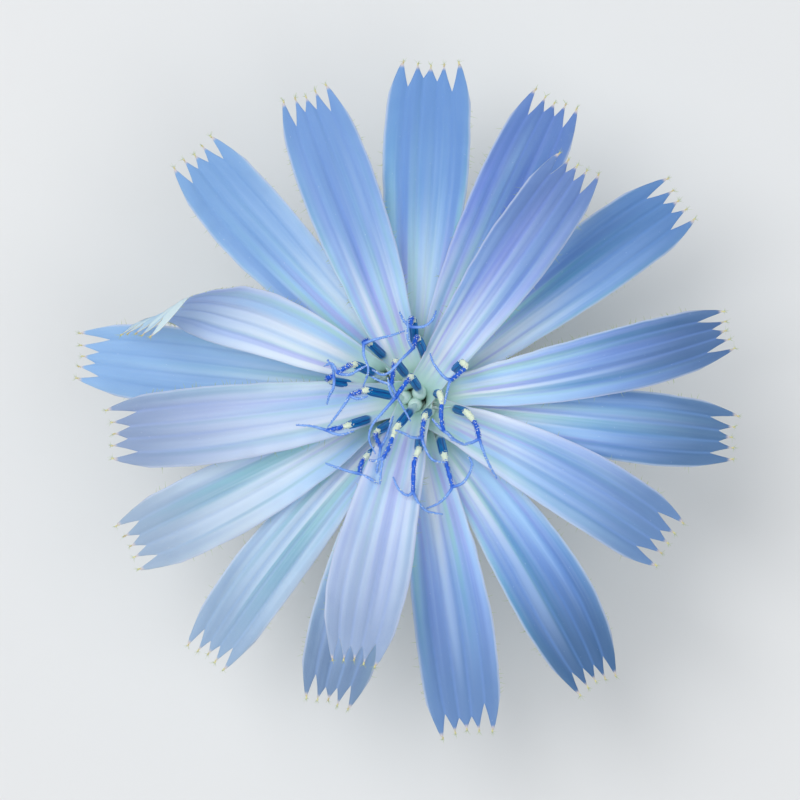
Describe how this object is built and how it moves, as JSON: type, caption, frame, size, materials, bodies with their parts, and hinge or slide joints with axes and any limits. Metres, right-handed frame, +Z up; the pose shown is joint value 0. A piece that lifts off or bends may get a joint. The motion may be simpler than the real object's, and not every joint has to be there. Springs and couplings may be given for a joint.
{
  "type": "chicory flower",
  "caption": "Picked blue chicory flower head: ring of strap petals with five-toothed ends round dark anther tubes and curled stigmas, in a cup of green bracts on a short cut stem.",
  "frame": {"origin": "on the ground plane, under the middle of the flower's outline, close to the stem axis", "axes": "+Z up along the stem, out of the face of the flower; +Y towards the petal at twelve o'clock of the picture, +X to its right"},
  "size_m": [0.0374, 0.0381, 0.0188],
  "materials": {
    "stem": "cut green stem and receptacle, matt",
    "bract": "green bracts with paler bases, matt, fine gland hairs",
    "petal": "thin matt sky-blue strap petals with long pleats, paler at the root",
    "anther": "dark blue anther tubes, cream pollen collars, blue styles"
  },
  "bodies": {
    "root": {"receptacle": "stem", "outer_bract_1": "bract", "outer_bract_2": "bract", "outer_bract_3": "bract", "outer_bract_4": "bract", "outer_bract_5": "bract", "inner_bract_1": "bract", "inner_bract_2": "bract", "inner_bract_3": "bract", "inner_bract_4": "bract", "inner_bract_5": "bract", "inner_bract_6": "bract", "inner_bract_7": "bract", "inner_bract_8": "bract", "floret_01_ligule": "petal", "floret_01_stamens": "anther", "floret_02_ligule": "petal", "floret_02_stamens": "anther", "floret_03_ligule": "petal", "floret_03_stamens": "anther", "floret_04_ligule": "petal", "floret_04_stamens": "anther", "floret_05_ligule": "petal", "floret_05_stamens": "anther", "floret_06_ligule": "petal", "floret_06_stamens": "anther", "floret_07_ligule": "petal", "floret_07_stamens": "anther", "floret_08_ligule": "petal", "floret_08_stamens": "anther", "floret_09_ligule": "petal", "floret_09_stamens": "anther", "floret_10_ligule": "petal", "floret_10_stamens": "anther", "floret_11_ligule": "petal", "floret_11_stamens": "anther", "floret_12_ligule": "petal", "floret_12_stamens": "anther", "floret_13_ligule": "petal", "floret_13_stamens": "anther", "floret_14_ligule": "petal", "floret_14_stamens": "anther", "floret_15_ligule": "petal", "floret_15_stamens": "anther", "floret_16_ligule": "petal", "floret_16_stamens": "anther", "floret_17_ligule": "petal", "floret_17_stamens": "anther", "floret_18_ligule": "petal", "floret_18_stamens": "anther"}
  },
  "joints": []
}
